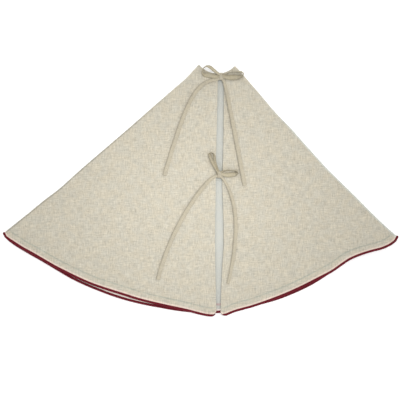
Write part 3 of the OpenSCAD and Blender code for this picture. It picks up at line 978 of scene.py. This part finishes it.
def tail_piece(name):
    key, root, route, rolls, widths = TAILS[name]
    points = bezier(route, 34)
    share = np.linspace(0, 1, len(points))
    roll = np.interp(share, np.linspace(0, 1, len(rolls)), rolls)
    width = np.interp(share, np.linspace(0, 1, len(widths)), widths)
    top = np.maximum(top_at(points[:, 0], points[:, 1], key), TOP_Z)
    z = top + TIE_LIFT + TIE_T / 2 + np.abs(np.sin(np.radians(roll))) * width / 2
    controls = [(*root, 0, 6.0)] + list(np.column_stack([points, z, roll, width]))
    obj, length = ribbon(f"{name}_tail_ribbon", controls, TIE_T, TIE_LINEN_SHADED, both_edges=False)
    joint = next(j for j in frame["record"]["behaviour"]["joints"] if j["name"] == f"{name}_tail_lift")
    hinge = (np.array(joint["pos_m"][:2]) - NECK[:2]) * 1000
    way = np.array([-joint["axis"][1], joint["axis"][0]])
    start, end = (tuple(hinge + way * d) + (TOP_Z,) for d in TAIL_BEND)
    settle(obj, [f"{name}_tail"], blend=(joint["parent"], joint["child"], start, end))


for tie in TAILS:
    tail_piece(tie)

LOOPS = {
    # x, y, z, roll, width
    "upper_left": ("front_left", [
        (5, -58, 22, 20, 6), (-2, -53, 22.5, 24, 7.5), (-10, -46.5, 22.5, 22, 8.4),
        (-17.5, -40.4, 22.5, 26, 8.4), (-24.5, -38.4, 23, 56, 8.5), (-31, -41.5, 23, 78, 9),
        (-34.6, -48, 22.6, 76, 9), (-34.4, -54, 22, 60, 10), (-29.5, -57.6, 20.5, 30, 12),
        (-22, -58.6, 19.4, 14, 13), (-12, -61, 19.4, 10, 11.5), (-2, -62, 20, 8, 9),
        (5, -61, 20.6, 0, 6.5),
    ]),
    "upper_right": ("front_right", [
        (10, -60.5, 20.5, 0, 6.5), (17, -62.4, 19.6, -10, 10), (27, -63.4, 19.2, -8, 12),
        (38, -63.6, 19.2, -10, 12.4), (48, -62.8, 19.6, -22, 11), (56, -60.8, 21, -58, 9.4),
        (59.8, -56.6, 22, -86, 8.8), (56.5, -52.4, 22.4, -100, 8.6), (48, -50.6, 22.4, -98, 8.4),
        (38, -50.8, 22.2, -88, 8.2), (27, -53, 22.2, -74, 8), (18, -57, 22, -56, 7),
        (10, -60, 21.6, -30, 6),
    ]),
    "lower_left": ("front_left", [
        (3.5, -285, 21, 30, 6), (-1.5, -278, 21.4, 50, 7), (-7, -267.5, 21.2, 46, 8.4),
        (-12.5, -256, 21, 40, 9.4), (-17, -245, 21, 42, 9.8), (-18.4, -238.5, 21.6, 60, 9.6),
        (-15, -235.6, 22, 84, 9.4), (-10.6, -237.4, 22, 80, 9.2), (-8, -243, 21.4, 50, 9),
        (-7, -252, 20.8, 36, 8.4), (-4.4, -263, 20.8, 40, 7.6), (-0.5, -273, 21, 46, 7),
        (3.5, -282, 21.4, 40, 6),
    ]),
    "lower_right": ("front_right", [
        (6, -283, 21, -10, 6.5), (13, -286, 20, -8, 9), (24, -287, 19.6, -6, 10.4),
        (35, -286.2, 19.6, -8, 10.6), (42, -284.6, 20, -30, 10), (46.2, -281.6, 21.4, -75, 9.2),
        (44.5, -278, 21.8, -95, 8.6), (37, -276.6, 21.6, -80, 8.4), (27, -276.2, 21.2, -62, 8.2),
        (16, -277.6, 21, -52, 7.8), (7, -281, 21.4, -30, 6.5),
    ]),
}
KNOTS = {"upper": (-61.2, 8.0), "lower": (-285.8, 4.5)}  # y of the middle, x of the split
KNOT_LONG, KNOT_WIDE, KNOT_TALL = 16.5, 6.2, 7.4
KNOT_GAP = 0.08  # from the split to each half


def knot_half(name, side, cy, split):
    """Half of a knot: a band drawn tight over it from end to end, creased along its length. v runs from
    end to end and u from the split outwards."""
    rows, columns = 35, 19
    v = np.linspace(-1, 1, rows)[:, None]
    u = (1 - np.cos(np.linspace(0, 1, columns) * math.pi))[None] / 2
    end = np.sqrt(np.maximum(1 - v**4, 0))
    flare = 0.80 + 0.34 * v**2
    crease = 0.11 * np.exp(-(((u - 0.42 - 0.12 * side * v) / 0.09) ** 2))
    crease = crease + 0.07 * np.exp(-(((u - 0.75 + 0.1 * side * v) / 0.07) ** 2))
    arch = np.maximum(1 - u**2.6, 0) ** 0.6 - crease * (1 - u**6)
    x = split + side * (KNOT_GAP + KNOT_WIDE * flare * u) - 0.9 * v * (u > 0) * u
    y = cy + v * KNOT_LONG / 2 * (1 - 0.10 * u**2)
    z = TOP_Z + TIE_LIFT + KNOT_TALL * (0.42 + 0.58 * end) * np.maximum(arch, 0)
    top = np.stack([np.broadcast_to(x, z.shape), np.broadcast_to(y, z.shape), z], -1)
    low, cut = top.copy(), top.copy()
    low[..., 2] = TOP_Z + 0.05
    cut[..., 2] = 0
    return slab(name, top, low, cut, TIE_LINEN_SHADED)


for level, (cy, split) in KNOTS.items():
    for sign, word, body in ((-1, "left", LEFT), (1, "right", RIGHT)):
        tie = f"{level}_{word}"
        key, controls = LOOPS[tie]
        loop, length = ribbon(f"{tie}_loop_ribbon", controls, TIE_T, LOOP_LINEN_SHADED, step=1.0)
        settle(loop, [f"{tie}_loop"], body)
        knot = knot_half(f"{tie}_knot_wrap", sign, cy, split)
        settle(knot, [f"{tie}_knot"], body)
        edge = float(slit_left(-cy) if sign < 0 else slit_right(-cy))
        end, _ = ribbon(f"{tie}_tie_end_ribbon", [
            (edge + sign * 7, cy, 15.9, 0, 9.5), (edge + sign * 2, cy, 16.0, 0, 9.5),
            (lerp(edge, split, 0.5), cy, 16.4, 0, 9), (split + sign * 0.3, cy, 17.2, 0, 8.5),
        ], 1.0, TIE_LINEN_SHADED)
        settle(end, [f"{tie}_tie_end"], body)

# ---------------------------------------------------------------- cloth pieces, only looked up again

for name, key, strip, prefixes, body, blend in CLOTHS:
    for which in ("face", "lining"):
        obj, grid = cloth_pieces[name, which]

# ---------------------------------------------------------------- room, light and camera

scene = bpy.context.scene

FLOOR_HALF, FLOOR_Z = 6, -0.0002
FLOOR_GLOW = 0.25  # keeps the paper white beside the skirt
floor_mesh = bpy.data.meshes.new("floor")
corners = [(x * FLOOR_HALF, y * FLOOR_HALF, FLOOR_Z) for x, y in ((-1, -1), (1, -1), (1, 1), (-1, 1))]
floor_mesh.from_pydata(corners, [], [(0, 1, 2, 3)])
floor = bpy.data.objects.new("floor", floor_mesh)
scene.collection.objects.link(floor)
paper = Tree("paper")
paper.surface({
    "Base Color": (0.98, 0.98, 0.98, 1), "Roughness": 0.9, "Specular IOR Level": 0.0,
    "Emission Color": (1, 1, 1, 1), "Emission Strength": FLOOR_GLOW,
})
floor_mesh.materials.append(paper.material)

room = bpy.data.worlds.new("room")
scene.world = room
room.use_nodes = True
background = room.node_tree.nodes["Background"]
background.inputs["Color"].default_value = (1, 1, 1, 1)
background.inputs["Strength"].default_value = 1.0

# A soft lamp almost overhead, whose light fades towards the skirt's ends
LAMP_AIM = np.array([NECK[0] - 0.062, NECK[1] - 0.344, 0.017])
LAMP_WAY = np.array([0.22, 0.10, 0.970])
LAMP_FAR, LAMP_WATTS, LAMP_CONE, LAMP_SOFT = 3.0, 178.0, 16.6, 0.25
lamp = bpy.data.lights.new("key", "SPOT")
lamp.energy = LAMP_WATTS
lamp.spot_size = math.radians(LAMP_CONE)
lamp.spot_blend = 1.0
lamp.shadow_soft_size = LAMP_SOFT
lamp_object = bpy.data.objects.new("key", lamp)
lamp_object.location = LAMP_AIM + LAMP_WAY * LAMP_FAR
lamp_object.rotation_mode = "QUATERNION"
lamp_object.rotation_quaternion = Vector(tuple(LAMP_WAY)).to_track_quat("Z", "Y")
scene.collection.objects.link(lamp_object)

# The photo was taken from straight above
camera_data = bpy.data.cameras.new("photo")
camera_data.lens, camera_data.sensor_width = 85, 36
camera = bpy.data.objects.new("photo", camera_data)
camera.location = (NECK[0] - 0.0404, NECK[1] - 0.3444, 2.183)
scene.collection.objects.link(camera)
scene.camera = camera
scene.view_settings.view_transform = "Standard"
scene.view_settings.look = "None"
